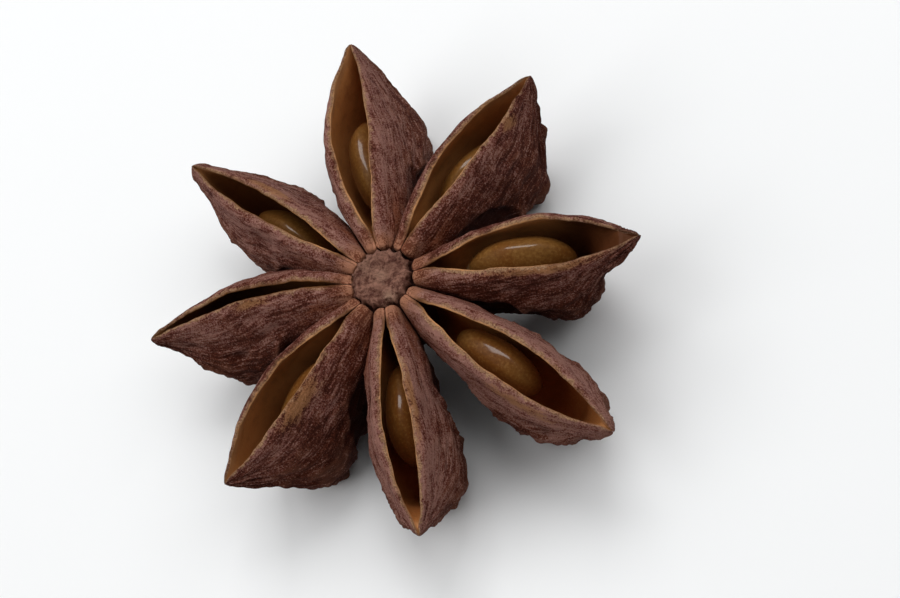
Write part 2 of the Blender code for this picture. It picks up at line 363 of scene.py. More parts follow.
# Painted shadow, dark red, deep inside the pods toward their tips
INSIDE_SHADOW_RED = (0.045, 0.011, 0.004)
INSIDE_SHADE = (0.040, 0.010, 0.003)
DISC_BROWN = (0.090, 0.030, 0.020)
DISC_TAN = (0.310, 0.150, 0.104)
DISC_PALE = (0.350, 0.205, 0.140)
SEED_OLIVE = (0.155, 0.067, 0.015)
SEED_AMBER = (0.135, 0.048, 0.009)
SEED_SPECK = (0.250, 0.125, 0.036)
SEED_DARK = (0.080, 0.028, 0.006)
SEED_SCAR = (0.250, 0.140, 0.060)
FLOOR_WHITE = (0.86, 0.87, 0.875)
SKY_WHITE = (1.0, 1.0, 1.0)

# Each finish's gloss, as settings of its shader
GLOSS = {
    "husk": {"Specular IOR Level": 0.1},
    "disc": {"Roughness": 0.8, "Specular IOR Level": 0.3},
    "seed coat": {
        "Roughness": 0.4,
        "Specular IOR Level": 0.2,
        "Coat Weight": 0.8,
        "Coat Roughness": 0.09,
    },
    "floor": {"Roughness": 0.6, "Specular IOR Level": 0.2},
}

# The finishes' noises, as (scale, detail, roughness, warp). Those that follow the fibres have a
# scale along them, across them and into the wall.
FIBRE_NOISES = {
    "strands": ((0.7, 6.0, 1.2), 4.0, 0.65, 0.6),
    "coarse": ((0.45, 1.1, 0.5), 3.0, 0.6, 0.6),
    "ripple": ((2.6, 0.6, 0.6), 4.0, 0.7, 0.0),
}
HUSK_NOISES = {
    "cloud": (0.3, 3.0, 0.55, 0.0),
    "mottle": (1.2, 5.0, 0.7, 0.0),
    "grain": (9.0, 3.0, 0.7, 0.0),
}
DISC_NOISES = {
    "mottle": (1.7, 6.0, 0.72, 0.0),
    "grain": (7.0, 4.0, 0.75, 0.0),
}
SEED_NOISES = {
    "cloud": (0.25, 3.0, 0.5, 0.0),
    "grain": (5.0, 3.0, 0.6, 0.0),
}

# What the husk's tone, pale specks, stain streaks and bump are made of: each noise's share
TONE_SHARES = {"mottle": 1.1, "coarse": 1.2, "strands": 1.7, "grain": 2.0}
SPECK_SHARES = {"grain": 1.0, "strands": 0.5}
STREAK_SHARES = {"strands": 1.6, "grain": 1.4, "mottle": 0.8}
BUMP_SHARE = 0.7

# How much the noises shift the borders between colours, in millimetres: of the painted shade lower
# down, of the painted highlight on the raised relief, of the lips' rolled edge, of the painted shade
# deep inside, of the inside, and of the fingers' ends
LOW_SHADE_SHIFT = 6.0
PROUD_LIGHT_SHIFT = 0.2
LIP_SHIFT = 1.1
SUNK_SHADE_SHIFT = 2.0
INSIDE_SHIFT = 0.3
FINGER_SHIFT = 3.0

# How much each pod's own tone, partly painted light and shade, counts in the tone, and how far two
# colours cover the others: the dark of the pressed flanks and the keels, partly painted shade, and the
# pale band under the lips, partly painted light
PALENESS_AND_LIGHT_SHARE = 0.3
PRESSED_AND_SHADE_SHARE = 0.8
BAND_AND_LIGHT_SHARE = 0.7

# The height of the fine bumps that only the light shows, and the mottle's part in the disc's
HUSK_BUMP = 0.21
DISC_BUMP = 0.16
DISC_BUMP_MOTTLE = 1.5
SEED_BUMP = 0.008

# Ramps: (from, to), or (from, to, value at from, value at to) where those aren't 0 and 1. Most
# read a noise or a tone, from 0 to 1. Others read a height over the floor, a distance out from
# the column, a relief, or the distance from the lip, which is under 0 outside and over 0 inside.
RAMPS = {
    # Painted shade: the husk redder and darker lower down
    "low": (11.5, 7.5),
    "brown": (0.42, 0.60, 0.0, 0.6),
    # Painted light and shade: the husk paler near the lips and darker far from them
    "lit near lip": (-5.0, -0.8, -0.09, 0.09),
    "red": (0.62, 0.32, 0.0, 0.8),
    "dark": (0.45, 0.15, 0.0, 0.7),
    "pale": (0.50, 0.85, 0.0, 0.8),
    "root": (8.5, 4.5),
    "root flank": (-0.5, -1.5),
    "root patches": (0.35, 0.55, 0.3, 0.95),
    "root warm": (0.35, 0.75),
    # Partly a painted sheen
    "bloom": (0.58, 0.72, 0.0, 0.7),
    # Painted highlight on the raised relief, with the pale creases
    "proud": (0.18, 0.34, 0.0, 0.2),
    # Painted shade in the sunk relief
    "sunk": (0.0, -0.25, 0.0, 0.8),
    "stained": (0.9, 1.5, 0.0, 0.8),
    "stain edge": (0.05, 0.5),
    "rolled": (-0.18, -0.02),
    "rolled out": (ROOT + 0.8, ROOT + 3.0),
    "rolled in": (0.32, 0.14),
    "rolled patches": (0.38, 0.58, 0.25, 1.0),
    "torn": (0.35, 0.65),
    "inside": (0.2, 0.38),
    # Painted shade deeper inside the pods
    "inside deep shade": (1.2, 4.5),
    "inside dark shade": (4.0, 8.0, 0.0, 0.8),
    "inside mottle": (0.55, 0.35, 0.0, 0.3),
    "inside fleck": (0.52, 0.68, 0.0, 0.3),
    # Partly painted light under the lips
    "inside lit band": (1.1, 0.4),
    "inside root": (ROOT + 3.0, ROOT + 1.2, 0.0, 0.9),
    "finger": (ROOT + 3.3, ROOT + 1.7),
    "finger flank": (-1.5, -0.6),
    "finger top": (7.9, 8.6),
    "finger pale": (0.25, 0.6),
    "husk roughness": (0.0, 1.0, 0.85, 0.45),
    "husk bump": (0.0, 1.0, 1.0, 0.12),
    "disc tan": (0.38, 0.62),
    "disc patches": (0.4, 0.5),
    "disc pits": (0.5, 0.35, 0.0, 0.45),
    # Partly a painted sheen
    "disc bloom": (0.58, 0.7, 0.0, 0.5),
    # Painted shade in the disc's hollows
    "disc hollow shade": (0.0, -0.14, 0.0, 0.45),
    # Painted shade on the column's sides, down in the cracks
    "disc side shade": (8.8, 8.5, 0.0, 0.95),
    "seed amber": (0.4, 0.6),
    "seed specks": (0.52, 0.66, 0.0, 0.4),
    "seed dark": (0.48, 0.36, 0.0, 0.4),
    "seed scar": (0.2, 0.6),
}

# The light: the room's own, and lamps as (name, direction, distance, size, watts, glossy),
# where a glossy lamp is one that the polished seeds reflect
FLOOR_HALF = 2000.0
SKY_STRENGTH = 0.16
LAMPS = (
    ("back", (-0.24, 0.83, 0.50), 400.0, 220.0, 0.60, True),
    ("back right", (0.240, 0.589, 0.772), 400.0, 300.0, 0.585, False),
    ("back left", (-0.712, 0.589, 0.382), 400.0, 300.0, 0.32, False),
    ("front left", (-0.804, 0.063, 0.591), 400.0, 300.0, 0.47, False),
    ("low left", (-0.945, -0.218, 0.242), 400.0, 300.0, 0.28, False),
)

# The camera: how far it leans from straight above, how it is rolled, and the picture's scale
TILT = 33.0
ROLL = 43.0
CAMERA_DISTANCE = 120.0
CAMERA_NEAREST = 1.0
PIXELS_PER_MM = 15.0
PICTURE_WIDTH = 900
PICTURE_HEIGHT = 598
DISC_PIXEL_X = 381
DISC_PIXEL_Y = 277
SENSOR = 36.0


def along(outline, places):
    """Reads the smooth curve through an outline's points at an array of places from 0 to 1."""
    at, value = np.array(outline, float).T
    before = np.maximum(np.arange(len(at)) - 1, 0)
    after = np.minimum(np.arange(len(at)) + 1, len(at) - 1)
    slope = (value[after] - value[before]) / (at[after] - at[before])
    index = np.clip(np.searchsorted(at, places) - 1, 0, len(at) - 2)
    span = at[index + 1] - at[index]
    t = (places - at[index]) / span
    return (
        value[index] * (1 + 2 * t) * (1 - t) ** 2
        + value[index + 1] * t * t * (3 - 2 * t)
        + span * t * (1 - t) * (slope[index] * (1 - t) - slope[index + 1] * t)
    )


def ease(value, low, high, start=0.0, end=1.0):
    """A smooth step from start at low to end at high."""
    t = np.clip((value - low) / (high - low), 0, 1)
    return start + (end - start) * t * t * (3 - 2 * t)


def bell(away):
    """A smooth bell: 1 at 0, and almost nothing from 2 on, either way."""
    return np.exp(-(away**2))


def quarter_round(way):
    """The height of a rounded edge, from 0 to 1, at a way from 0 to 1 in from the edge."""
    return np.sqrt(1 - (1 - np.clip(way, 0, 1)) ** 2)


def lattice(cell, start):
    """A repeatable value from -1 to 1 for each whole-number point."""
    first, second, third = STIR_SHIFTS
    mixed = cell @ np.array(STIR_AXES) + start * STIR_START
    mixed = mixed & LOW_BITS
    mixed = ((mixed ^ (mixed >> first)) * STIR_FIRST) & LOW_BITS
    mixed = ((mixed ^ (mixed >> second)) * STIR_SECOND) & LOW_BITS
    return 2 * ((mixed ^ (mixed >> third)) & LAST_BITS) / LAST_BITS - 1


def noise(points, start):
    """Smooth noise from -1 to 1 at points, whose last axis is x, y and z."""
    cell = np.floor(points).astype(np.int64)
    step = points - cell
    smooth = step * step * (3 - 2 * step)
    total = np.zeros(points.shape[:-1])
    for corner in range(8):
        offset = np.array([corner & 1, corner >> 1 & 1, corner >> 2 & 1])
        weight = np.prod(np.where(offset, smooth, 1 - smooth), axis=-1)
        total += weight * lattice(cell + offset, start)
    return total


def rough(points, name, layers, number=0):
    """A named noise, in layers that are each half as wide and half as high as the one before."""
    start = STARTS[name] + number
    return sum(noise(points * 2**layer, start + layer) / 2**layer for layer in range(layers))


def spread(*axes):
    """Joins arrays of like shape into points."""
    return np.stack(np.broadcast_arrays(*axes), axis=-1)


def flank(share, lip, widest, ridge, power, roundness):
    """Half the width at a share of the depth: out from the lip to the ridge, then in to the keel."""
    upper = lip + (widest - lip) * np.sin(np.pi / 2 * np.minimum(share / ridge, 1))
    below = np.clip((share - ridge) / (1 - ridge), 0, 1)
    return np.where(share < ridge, upper, widest * (1 - below**power) ** roundness)


def wave_phase(carpel):
    """Where a carpel's waves start, so that no two carpels are alike."""
    return math.radians(carpel.azimuth) * PHASE_STEP


def wave(count, place, phase):
    """A slow wave along a carpel, which fades out at its root and its tip."""
    return np.sin(2 * np.pi * count * place + phase) * np.sin(np.pi * place)


def room(carpel, side):
    """Half the angle to the next carpel, on the anticlockwise side, 1, or the clockwise side, -1."""
    others = [other for other in CARPELS if other is not carpel]
    return math.radians(min(side * (other.azimuth - carpel.azimuth) % 360 for other in others) / 2)


def stand(carpel, out, across, height, inset):
    """Places a carpel's own points in the fruit's frame, in metres, clear of the carpels beside it."""
    across = np.minimum(across, out * math.tan(room(carpel, 1)) - CRACK / 2 - inset)
    across = np.maximum(across, CRACK / 2 + inset - out * math.tan(room(carpel, -1)))
    turn = math.radians(carpel.azimuth)
    x = AXIS_X + out * math.cos(turn) - across * math.sin(turn)
    y = AXIS_Y + out * math.sin(turn) + across * math.cos(turn)
    return spread(x, y, np.maximum(height, 0.0)) * MM


def own_place(carpel, place, sideways, depth):
    """A point as (out, across, height) in a carpel's own frame, bent as the carpel is."""
    out = ROOT + (carpel.reach - ROOT) * place
    seam = SEAM_HEIGHT + along(ARCH_OUTLINE, place) + carpel.rise * place**2
    seam = seam + WAVE_HEIGHT * wave(WAVE_COUNT, place, wave_phase(carpel) + sideways)
    across = sideways + carpel.lean * depth / carpel.depth
    across = across + carpel.bow * 4 * place * (1 - place) + carpel.bend * place**2
    return out, across, seam - depth


def evenly(sideways, depth, count, crowding):
    """Moves each row's points to steady steps along its line, closer together near its start."""
    steps = np.hypot(np.diff(sideways), np.diff(depth))
    length = np.concatenate([np.zeros((len(steps), 1)), np.cumsum(steps, axis=1)], axis=1)
    wanted = length[:, -1:] * np.linspace(0, 1, count) ** crowding
    rows = range(len(steps))
    moved = [np.interp(wanted[row], length[row], sideways[row]) for row in rows]
    sunk = [np.interp(wanted[row], length[row], depth[row]) for row in rows]
    return np.array(moved), np.array(sunk), wanted


def half_wall(carpel, place, side, counts):
    """One side's outside and inside lines, each as (sideways, depth, length) with a row a place."""
    phase = wave_phase(carpel)
    half_width = carpel.width / 2 * along(WIDTH_OUTLINE, place)
    depth = carpel.depth * along(DEPTH_OUTLINE, place) + KNOB_HEIGHT * wave(KNOB_COUNT, place, phase)
    depth = depth + carpel.heel * bell((place - carpel.heel_at) / HEEL_SPREAD)
    slit = SLIT / 2 + carpel.gape / 2 * np.maximum(along(GAPE_OUTLINE, place), 0.0)
    slit = np.minimum(slit, half_width * SLIT_WIDTH_SHARE)
    lip = along(LIP_OUTLINE, place)
    half_width = np.maximum(half_width, slit + lip)
    shut = 1 - ease(place, *SHUT_PLACES)
    slit = slit * (1 - SHUT_SHARE * shut)
    lip_round = LIP_ROUND * (1 - SHUT_ROUND * shut)
    cut_share = CUT_SHARE + SHUT_CUT * shut
    ridge = along(RIDGE_OUTLINE, place)
    share = np.linspace(0, 1, LINE_POINTS)[None, :]

    reach = flank(share, slit + lip, half_width, ridge, FLANK_POWER, FLANK_ROUND)
    turns = FOLD_COUNT * (share - FOLD_SLANT * place)
    fold = FOLD_HEIGHT * np.sin(np.pi * place) * share * (1 - share**FOLD_FADE)
    reach = reach + fold * np.sin(2 * np.pi * turns + phase * side)
    rounded = quarter_round(share * depth / lip_round)
    reach = slit + (reach - slit) * (cut_share + (1 - cut_share) * rounded)
    down = share * depth - LIP_CROWN * (1 - rounded)
    outside = evenly(side * reach, down, counts[0], OUTSIDE_CROWDING)

    opening = np.minimum(1.0, np.minimum(place, 1 - place) / CLOSED_END)
    groove = np.minimum(END_GROOVE, depth / 2)
    cavity_depth = np.maximum(depth - KEEL_THICKNESS, 0.0) * opening + groove * (1 - opening)
    cavity_width = np.maximum(half_width - WALL, slit)
    inner = flank(share, slit, cavity_width, ridge, CAVITY_POWER, CAVITY_ROUND)
    inner = opening * inner + (1 - opening) * slit * (1 - share)
    crown = slit + cut_share * lip
    down = CUT_DROP + share * np.maximum(cavity_depth - CUT_DROP, LEAST_HOLLOW)
    inner = np.concatenate([crown, inner], axis=1)
    down = np.concatenate([np.full_like(crown, -LIP_CROWN), down], axis=1)
    inside = evenly(side * inner, down, counts[1], INSIDE_CROWDING)
    return outside, inside, depth


def fused(turn):
    """How far the fingers have grown onto the disc in a direction, in radians."""
    return ease(np.cos(turn - math.radians(FUSED_AZIMUTH)), *FUSED_SPREAD)


def husk_relief(carpel, number, place, side, share, at, fan):
    """How far the outside stands proud of its plain form, and where a neighbour pressed it or its keel
    is rugged, which the finish paints darker, partly as painted shade.
    """
    own = spread(at[..., 0], fan, number)
    drift = DRIFT * rough(at * DRIFT_GRAIN, "drift", 1, number)
    wrinkle = 1 - 2 * np.abs(rough(own * WRINKLE_GRAIN + spread(drift, drift, 0), "wrinkle", 2))
    crinkle = 1 - 2 * np.abs(rough(own * CRINKLE_GRAIN + spread(drift, 0, 0), "crinkle", 2))
    lump = rough(at * LUMP_GRAIN, "lump", 3, number) * (LUMP_AT_LIP + (1 - LUMP_AT_LIP) * share)
    relief = (WRINKLE_HEIGHT * wrinkle + CRINKLE_HEIGHT * crinkle) * ease(share, *CALM_LIPS)
    relief += FIBRE_HEIGHT * rough(own * FIBRE_GRAIN, "fibre", 2) + LUMP_HEIGHT * lump

    wander = CREASE_WANDER * rough(spread(share, number, side) * CREASE_GRAIN, "crease", 3)
    past = (place - CREASE_PLACE - CREASE_SLANT * share + wander) * (carpel.reach - ROOT)
    free = ease(share, *CREASE_SHARES)
    pressed = free * (1 - ease(past, *PRESS_FADE)) * ease(place, *PRESS_PLACES)
    relief -= PRESS_DEPTH * pressed
    relief += CREASE_HEIGHT * free * bell(past / CREASE_WIDTH) * (CREASE_STEADY + wrinkle)

    knob = np.abs(rough(at * KEEL_KNOB_GRAIN, "keel knob", 2, number))
    rugged = ease(share, *KEEL_SHARES) * ease(place, *KEEL_PLACES) * ease(1 - place, *KEEL_TIP)
    relief += KEEL_KNOB_HEIGHT * rugged * (KEEL_KNOB_GAIN * knob - KEEL_KNOB_SUNK)
    return relief, np.maximum(pressed, KEEL_DARK_AND_SHADE * rugged)


def tear_lips(at, number, place, side, out, cut):
    """Waves and tears the lips of a carpel's own points."""
    tear = bell(cut / TEAR_WIDTH) * ease(place, 0.0, TEAR_ROOT) * ease(1 - place, 0.0, TEAR_TIP)
    own = spread(out, side, number)
    ragged = rough(own * LIP_WAVE_GRAIN, "lip wave", 2)
    fine = rough(own * LIP_TEAR_GRAIN, "lip tear", 3)
    risen = LIP_WAVE * LIP_WAVE_RISE * np.roll(ragged, LIP_WAVE_LAG, 0) + LIP_TEAR * fine
    at[..., 1] += LIP_WAVE * ragged * tear
    at[..., 2] += risen * tear


def round_ends(at, carpel, side, out, down):
    """Rounds the fingers at the disc, and the tip, of a carpel's own points."""
    end = 1 - quarter_round((out - ROOT) / FINGER_LENGTH)
    end = end * (1 - ease(down, *FINGER_DEPTHS))
    end = end * (1 - FUSED_SHARE * fused(math.radians(carpel.azimuth)))
    finger = FINGER_MIDDLE * out * math.tan(math.pi / len(CARPELS)) * side
    at[..., 1] += (finger - at[..., 1]) * end * FINGER_PULL
    at[..., 2] -= FINGER_DROP * end

    tip = quarter_round(np.maximum((carpel.reach - out) / TIP_LENGTH, TIP_LEAST))
    centre = at.mean(axis=1, keepdims=True)
    at[..., 1:] = centre[..., 1:] + (at[..., 1:] - centre[..., 1:]) * tip[..., None]


def stains(number, side, out, cut):
    """How stained each point of a carpel is, from 0 to 1."""
    stain = np.zeros_like(cut)
    for pod, flank_side, stain_out, stain_down, length, breadth in STAINS:
        if pod == number:
            away = np.hypot((out - stain_out) / length, (cut + stain_down) / breadth)
            stain = np.maximum(stain, bell(away) * (side == flank_side))
    return stain


def carpel_grid(carpel, number, coarse):
    """A carpel's fine wall as a grid of points, with the numbers that its finish reads."""
    runs = [np.linspace(a, b, steps // coarse, endpoint=False) for a, b, steps in STATION_RUNS]
    place = np.append(np.concatenate(runs), 1.0)[:, None]
    counts = (OUTSIDE_POINTS // coarse, INSIDE_POINTS // coarse)
    right, right_in, depth = half_wall(carpel, place, 1, counts)
    left, left_in, _ = half_wall(carpel, place, -1, counts)

    def loop(a, b, c, d):
        """One loop of a wall: down and up the outside, then down and up the inside."""
        return np.concatenate([a, b[:, -2::-1], c[:, 1:], d[:, -2:0:-1]], axis=1)

    sideways = loop(right[0], left[0], left_in[0], right_in[0])
    down = loop(right[1], left[1], left_in[1], right_in[1])
    cut = loop(-right[2], -left[2], left_in[2], right_in[2])
    ones = [np.ones_like(line[0]) for line in (right, left, left_in, right_in)]
    side = loop(ones[0], -ones[1], -ones[2], ones[3])
    outer = loop(ones[0], ones[1], 0 * ones[2], 0 * ones[3])
    share = np.clip(down / depth, 0, 1)
    place = np.broadcast_to(place, sideways.shape)
    out, across, height = own_place(carpel, place, sideways, down)
    fan = side * (1 - share) * carpel.depth + FAN_SLANT * out

    at = spread(out, across, height)
    normal = np.cross(np.gradient(at, axis=0), np.roll(at, -1, 1) - np.roll(at, 1, 1))
    normal /= np.maximum(np.linalg.norm(normal, axis=-1, keepdims=True), TINY)
    right_flank = len(at) // 2, counts[0] // 2
    normal *= np.sign(normal[right_flank][1])

    relief, pressed = husk_relief(carpel, number, place, side, share, at, fan)
    silk = SILK_HEIGHT * rough(spread(out, cut, side * SILK_SIDES + number) * SILK_GRAIN, "silk", 2)
    relief = outer * ease(-cut, *RELIEF_FROM) * relief + (1 - outer) * ease(cut, *SILK_FROM) * silk
    at = at + normal * relief[..., None]
    tear_lips(at, number, place, side, out, cut)
    round_ends(at, carpel, side, out, down)
    points = stand(carpel, at[..., 0], at[..., 1], at[..., 2], (1 - outer) * PRESSED_WALL)

    # Painted shade inside, darker toward the tip
    dimmest, dim_from, dim_to = SHADED_INSIDES[number - 1]
    facts = {
        "fibre": spread(out, fan, down),
        "cut": cut,
        "relief": relief,
        "pressed": pressed * outer,
        "stain": stains(number, side, out, cut),
        "tip_shade": dimmest * ease(place, dim_from, dim_to),
        # How pale the pod is, partly painted light and shade
        "paleness_and_light": np.full_like(cut, PALENESS_AND_LIGHT[number - 1]),
    }
    return points, facts


def grid_mesh(name, points, facts):
    """A mesh over a grid of points, closed round its rows, with a fan over each end."""
    rows, count = points.shape[:2]
    index = np.arange(rows * count).reshape(rows, count)
    far = np.roll(index, -1, 1)
    quads = np.stack([index[:-1], far[:-1], far[1:], index[1:]], axis=-1).reshape(-1, 4)
    hubs = [(points[row, 0] + points[row, count // 2]) / 2 for row in (0, -1)]
    first = np.stack([far[0], index[0], np.full(count, rows * count)], axis=-1)
    last = np.stack([np.full(count, rows * count + 1), index[-1], far[-1]], axis=-1)
    places = np.concatenate([points.reshape(-1, 3), hubs])
    corners = np.concatenate([quads.ravel(), first.ravel(), last.ravel()])
    sizes = np.concatenate([np.full(len(quads), 4), np.full(2 * count, 3)])

    mesh = bpy.data.meshes.new(name)
    mesh.vertices.add(len(places))
    mesh.vertices.foreach_set("co", places.ravel())
    mesh.loops.add(len(corners))
    mesh.loops.foreach_set("vertex_index", corners)
    mesh.polygons.add(len(sizes))
    mesh.polygons.foreach_set("loop_start", np.concatenate([[0], np.cumsum(sizes)[:-1]]))
    for fact, values in facts.items():
        flat = values.reshape(rows * count, -1)
        flat = np.concatenate([flat, flat[:1], flat[-1:]])
        kind, field = ("FLOAT_VECTOR", "vector") if values.ndim == 3 else ("FLOAT", "value")
        mesh.attributes.new(fact, kind, "POINT").data.foreach_set(field, flat.ravel())
    mesh.update(calc_edges=True)
    mesh.validate()
    mesh.shade_smooth()
    made = bpy.data.objects.new(name, mesh)
    bpy.context.scene.collection.objects.link(made)
    return made


def wear(made, finish, node):
    """Gives a piece its finish, puts it under the root body and hides the solid of the node that it
    stands for.
    """
    made.data.materials.append(finish)
    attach(made, "root")
    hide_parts(node)


def coarseness():
    """How many times fewer points a mesh has: always 1."""
    return 1


def make_carpel(carpel, number, finish):
    """One carpel's wall."""
    points, facts = carpel_grid(carpel, number, coarseness())
    wear(grid_mesh(f"carpel_{number}", points, facts), finish, "pericarp")


def gaps():
    """The angles at which the fingers round the disc part: at each seam and between the carpels."""
    found = []
    for carpel in CARPELS:
        found.append(math.radians(carpel.azimuth))
        found.append(math.radians(carpel.azimuth) + room(carpel, 1))
    return np.array(found)


def spots(table, x, y):
    """The sum of round spots, each given as (x, y, size, how much)."""
    return sum(much * bell(np.hypot(x - a, y - b) / size) for a, b, size, much in table)


def make_disc(finish):
    """The column, with the pitted disc on its top and the stalk's scar below."""
    turn = np.linspace(0, 2 * np.pi, DISC_SIDES // coarseness(), endpoint=False)[None, :]
    steps = np.linspace(0, 1, DISC_RINGS // coarseness())[:, None]
    scar = (SCAR_HOLE, COLUMN_OUTLINE[-1][1] - SCAR_DENT)
    outline = np.array([(0.0, DISC_DENT), *COLUMN_OUTLINE, scar])
    lengths = np.append(0, np.cumsum(np.hypot(*np.diff(outline, axis=0).T)))
    reading = lengths[-1] * steps**DISC_CROWDING
    radius = np.interp(reading, lengths, outline[:, 0]) + DISC_HOLE
    depth = np.interp(reading, lengths, outline[:, 1])

    after = ((gaps() - turn[..., None]) % (2 * np.pi)).min(axis=-1)
    before = ((turn[..., None] - gaps()) % (2 * np.pi)).min(axis=-1)
    from_gap = 2 * np.minimum(after, before) / np.maximum(after + before, TINY)
    wider = DISC_WIDER + (FUSED_REACH - DISC_WIDER) * fused(turn)
    wider = wider + DISC_POINT * bell(from_gap / DISC_POINT_SPREAD)
    wider = wider * (1 - ease(depth, *DISC_POINT_DEPTHS))
    radius = radius + wider * ease(radius, *DISC_POINT_RADII)
    x = radius * np.cos(turn)
    y = radius * np.sin(turn)

    at = spread(x, y, depth)
    top = 1 - ease(depth, *DISC_TOP)
    swell = DISC_RELIEF * top * rough(at * DISC_GRAIN, "disc", 4) * ease(radius, *DISC_CALM)
    lumps = spots(DISC_LUMPS, x, y) + DISC_RIM * bell((radius - DISC_RIM_RADIUS) / DISC_RIM_WIDTH)
    height = SEAM_HEIGHT - depth + swell + lumps * top
    edge = ease(radius, *DISC_EDGE_FROM) * (1 - ease(radius, *DISC_EDGE_TO))
    ragged = 1 + DISC_EDGE * edge * rough(at * DISC_EDGE_GRAIN, "disc edge", 3)
    points = spread(AXIS_X + x * ragged, AXIS_Y + y * ragged, height) * MM
    facts = {"relief": swell, "stain": spots(DISC_PATCHES, x, y) * top}
    wear(grid_mesh("disc", points, facts), finish, "pericarp")


def make_seed(carpel, number, finish):
    """One glossy seed: an oval, a little broader at its outer end, with a scar at its inner end."""
    ring = np.linspace(0, 2 * np.pi, SEED_SIDES // coarseness(), endpoint=False)[None, :]
    rise = np.linspace(SEED_HOLE, np.pi - SEED_HOLE, SEED_RINGS // coarseness())[:, None]
    length = -0.5 * np.cos(rise) * carpel.seed_size * np.ones_like(ring)
    girth = 0.5 * np.sin(rise) * carpel.seed_size * (1 + SEED_BROADER * length)
    height = girth * np.cos(ring) * SEED_HEIGHT
    crest = np.sign(np.sin(ring)) * np.abs(np.sin(ring)) ** SEED_CRESTS[number - 1]
    thickness = girth * crest * SEED_THICKNESS
    at = spread(length * SEED_LENGTH, thickness, height)
    scar = bell((length - SEED_SCAR_AT) / SEED_SCAR_LENGTH)
    dent = 1 + SEED_UNEVEN * rough(at * SEED_GRAIN, "seed", 1, number) - SEED_SCAR_DENT * scar
    place = (carpel.seed_at - ROOT + length * SEED_LENGTH) / (carpel.reach - ROOT)
    sideways = carpel.seed_aside + thickness * dent
    out, across, top = own_place(carpel, place, sideways, carpel.seed_deep - height * dent)
    points = stand(carpel, out, across, top, 0.0)
    made = grid_mesh(f"seed_{number}_coat", points, {"scar": scar})
    wear(made, finish, f"seed_{number}")


class Graph:
    """Builds a material's nodes. Each call adds a node and gives its output, for the next to use."""

    def __init__(self, name):
        self.material = bpy.data.materials.new(name)
        self.material.use_nodes = True
        self.nodes = self.material.node_tree.nodes
        self.links = self.material.node_tree.links
        self.shader = self.nodes["Principled BSDF"]
        for socket, value in GLOSS[name].items():
            self.shader.inputs[socket].default_value = value

    def set(self, socket, value):
        """Links an output to a socket, or sets the socket to a plain value."""
        if isinstance(value, bpy.types.NodeSocket):
            self.links.new(value, socket)
        elif socket.type == "RGBA":
            socket.default_value = (*value, 1.0)
        else:
            socket.default_value = value

    def math(self, operation, first, second):
        """Arithmetic on two numbers."""
        node = self.nodes.new("ShaderNodeMath")
        node.operation = operation
        self.set(node.inputs[0], first)
        self.set(node.inputs[1], second)
        return node.outputs[0]

    def plus(self, first, second):
        """The sum of two numbers."""
        return self.math("ADD", first, second)

    def minus(self, first, second):
        """The first number less the second."""
        return self.math("SUBTRACT", first, second)

    def times(self, first, second):
        """The product of two numbers."""
        return self.math("MULTIPLY", first, second)

    def shares(self, noises, shares):
        """Adds up noises, each with its share, to a number that stays about 0.5."""
        total = 0.5
        for name, share in shares.items():
            total = self.plus(self.times(self.minus(noises[name], 0.5), share), total)
        return total

    def ramp(self, value, name):
        """A smooth step along a named ramp."""
        low, high, start, end = (*RAMPS[name], 0.0, 1.0)[:4]
        node = self.nodes.new("ShaderNodeMapRange")
        node.interpolation_type = "SMOOTHSTEP"
        for socket, given in zip(node.inputs, (value, low, high, start, end)):
            self.set(socket, given)
        return node.outputs[0]

    def mix(self, share, under, over):
        """Covers a colour with another by a share."""
        node = self.nodes.new("ShaderNodeMix")
        node.data_type = "RGBA"
        self.set(node.inputs[0], share)
        self.set(node.inputs[6], under)
        self.set(node.inputs[7], over)
        return node.outputs[2]

    def lay(self, under, over, value, name):
        """Covers a colour with another as far as a value is along a named ramp."""
        return self.mix(self.ramp(value, name), under, over)

    def stretch(self, vector, scale):
        """Scales a vector."""
        node = self.nodes.new("ShaderNodeVectorMath")
        node.operation = "MULTIPLY"
        self.set(node.inputs[0], vector)
        self.set(node.inputs[1], scale)
        return node.outputs[0]

    def parts(self, vector):
        """A vector's three numbers."""
        node = self.nodes.new("ShaderNodeSeparateXYZ")
        self.set(node.inputs[0], vector)
        return node.outputs

    def noise(self, vector, scale, detail, roughness, warp):
        """Noise from 0 to 1, with one scale or a scale for each of the vector's numbers."""
        if isinstance(scale, tuple):
            vector = self.stretch(vector, scale)
            scale = 1.0
        node = self.nodes.new("ShaderNodeTexNoise")
        self.set(node.inputs["Vector"], vector)
        node.inputs["Scale"].default_value = scale
        node.inputs["Detail"].default_value = detail
        node.inputs["Roughness"].default_value = roughness
        node.inputs["Distortion"].default_value = warp
        return node.outputs[0]

    def noises(self, vector, table):
        """Each of a table's noises by its name."""
        return {name: self.noise(vector, *settings) for name, settings in table.items()}

    def fact(self, name, vector=False):
        """A number or vector that each point of a mesh carries."""
        node = self.nodes.new("ShaderNodeAttribute")
        node.attribute_name = name
        return node.outputs["Vector" if vector else "Fac"]

    def place(self):
        """Where a point is on its piece, in millimetres."""
        node = self.nodes.new("ShaderNodeTexCoord")
        return self.stretch(node.outputs["Object"], (1 / MM, 1 / MM, 1 / MM))

    def colour(self, colour):
        """Gives the surface its colour."""
        self.set(self.shader.inputs["Base Color"], colour)

    def bump(self, height, distance):
        """Fine relief, in millimetres."""
        node = self.nodes.new("ShaderNodeBump")
        node.inputs["Distance"].default_value = distance * MM
        self.set(node.inputs["Height"], height)
        self.set(self.shader.inputs["Normal"], node.outputs[0])


